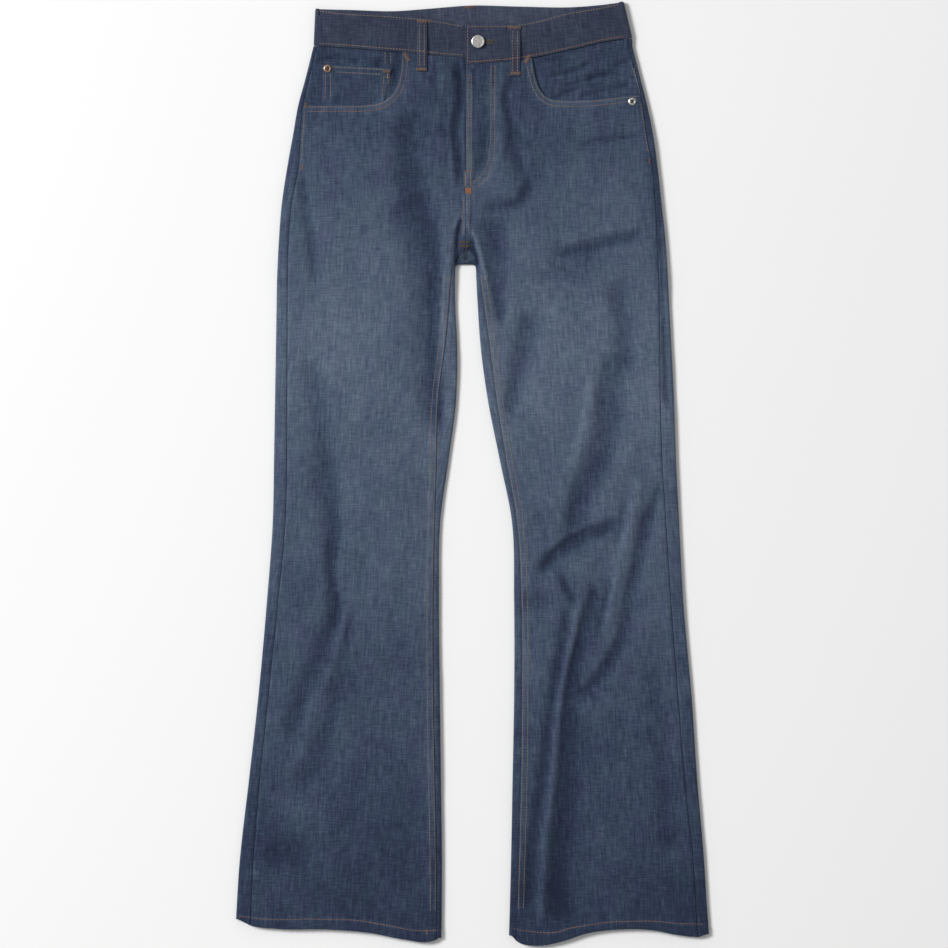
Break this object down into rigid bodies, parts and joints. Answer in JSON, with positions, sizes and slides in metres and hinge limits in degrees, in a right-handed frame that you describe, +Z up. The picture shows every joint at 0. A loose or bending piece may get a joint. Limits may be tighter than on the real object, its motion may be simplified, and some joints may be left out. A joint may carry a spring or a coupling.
{
  "type": "bootcut jeans",
  "caption": "Pair of long denim jeans with flared legs, laid flat face up with the waist button fastened; scooped front pockets, a coin pocket and belt loops.",
  "frame": {"origin": "on the surface that the jeans lie on, below the middle of the whole", "axes": "+Z up out of the surface, +Y from the hems towards the waist, +X towards the wearer's left leg"},
  "size_m": [0.5624, 1.1229, 0.0142],
  "materials": {
    "leg_denim": "mid blue right hand twill with a fine crosshatch slub, matte",
    "pocket_denim": "mid blue twill, matte",
    "band_denim": "dark blue twill, several layers thick, matte",
    "nickel": "pale nickel plate, satin",
    "copper": "aged copper, satin"
  },
  "bodies": {
    "root": {"front_right": "leg_denim", "front_left": "leg_denim", "back_right": "leg_denim", "back_left": "leg_denim", "yoke_right": "leg_denim", "yoke_left": "leg_denim", "waistband": "band_denim", "pocket_facing_right": "pocket_denim", "pocket_facing_left": "pocket_denim", "coin_pocket": "pocket_denim", "back_pocket_right": "pocket_denim", "back_pocket_left": "pocket_denim", "belt_loop_front_right": "band_denim", "belt_loop_front_left": "band_denim", "belt_loop_back_right": "band_denim", "belt_loop_back_left": "band_denim", "belt_loop_back_centre": "band_denim", "waist_button": "nickel", "coin_pocket_rivet": "copper", "pocket_rivet": "nickel"}
  },
  "joints": []
}
